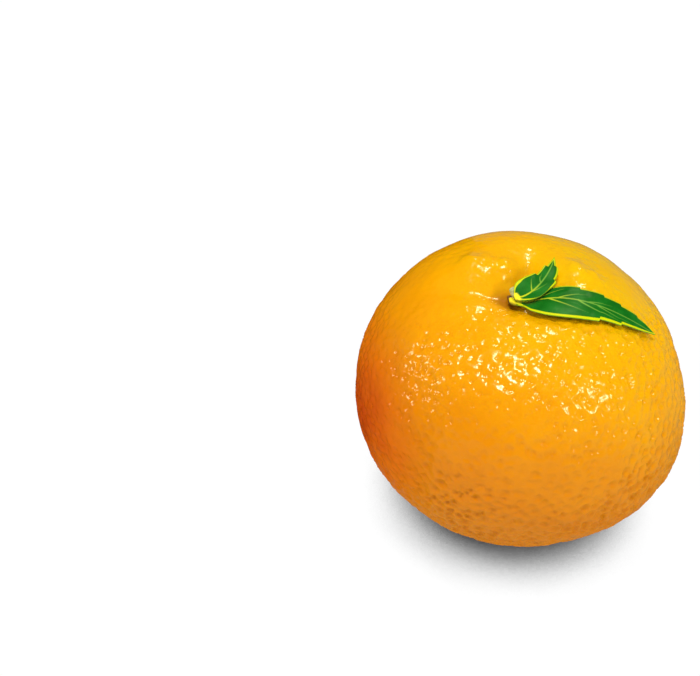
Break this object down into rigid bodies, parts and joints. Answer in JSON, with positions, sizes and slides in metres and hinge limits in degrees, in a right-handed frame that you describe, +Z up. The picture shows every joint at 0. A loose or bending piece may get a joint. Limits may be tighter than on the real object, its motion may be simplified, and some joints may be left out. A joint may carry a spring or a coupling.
{
  "type": "mandarin orange",
  "caption": "Whole mandarin orange as picked: a flattened round fruit with a pitted orange-yellow peel, a calyx, a short cut stem and serrated green leaves, resting on a flat blossom end.",
  "frame": {"origin": "middle of the fruit's base, in the plane that it rests on", "axes": "+Z up through the stem end; the leaves fold over towards +X; the side with the clearest view of the stem faces -Y"},
  "size_m": [0.0669, 0.066, 0.0602],
  "materials": {
    "peel": "waxy, pitted with oil glands",
    "calyx": "dry, matt",
    "stem": "fresh green twig, satin",
    "leaf": "leathery and waxy, satin"
  },
  "bodies": {
    "root": {"fruit": "peel", "calyx": "calyx", "stem": "stem", "large_leaf": "leaf", "small_leaf": "leaf"}
  },
  "joints": []
}
